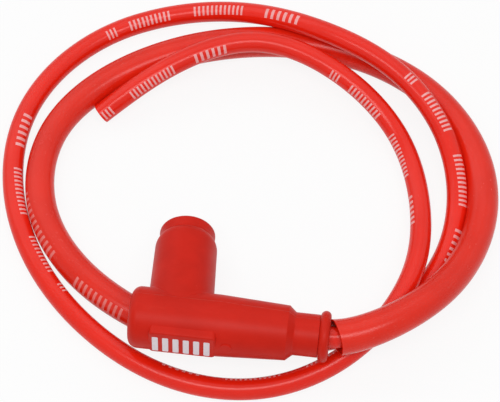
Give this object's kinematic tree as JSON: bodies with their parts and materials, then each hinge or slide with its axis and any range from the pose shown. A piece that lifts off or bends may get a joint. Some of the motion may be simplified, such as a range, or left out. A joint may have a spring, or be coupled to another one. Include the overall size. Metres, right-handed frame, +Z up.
{
  "type": "spark plug cap",
  "caption": "Elbow spark plug cap of red silicone rubber with a coiled high-tension cable, a loose insulating sleeve over its first turn and a bare cut end.",
  "frame": {"origin": "On the ground under the middle of the cap, cable not counted; the cap lies on its side with its stub's lip on the ground", "axes": "+X along the barrel towards the collar that the cable leaves; +Y the way the plug stub points, seen from above; +Z up. Metres"},
  "size_m": [0.1658, 0.1451, 0.029],
  "materials": {
    "red_silicone": "matte moulded silicone rubber",
    "dark_resin": "moulded resin",
    "brass": "bright",
    "plated_steel": "bright spring wire",
    "ceramic": "glazed ceramic",
    "red_cable_jacket": "satin extruded jacket",
    "red_sleeve": "satin extruded tube"
  },
  "bodies": {
    "root": {"silicone_boot": "red_silicone", "insulator_core": "dark_resin", "plug_socket": "brass", "socket_clip": "plated_steel", "socket_washer": "plated_steel", "contact_stud": "brass", "resistor_rod": "ceramic", "resistor_cap_inner": "plated_steel", "resistor_cap_outer": "plated_steel", "contact_spring": "plated_steel", "cable_terminal": "brass", "ignition_cable": "red_cable_jacket", "cable_sleeve": "red_sleeve"}
  },
  "joints": []
}
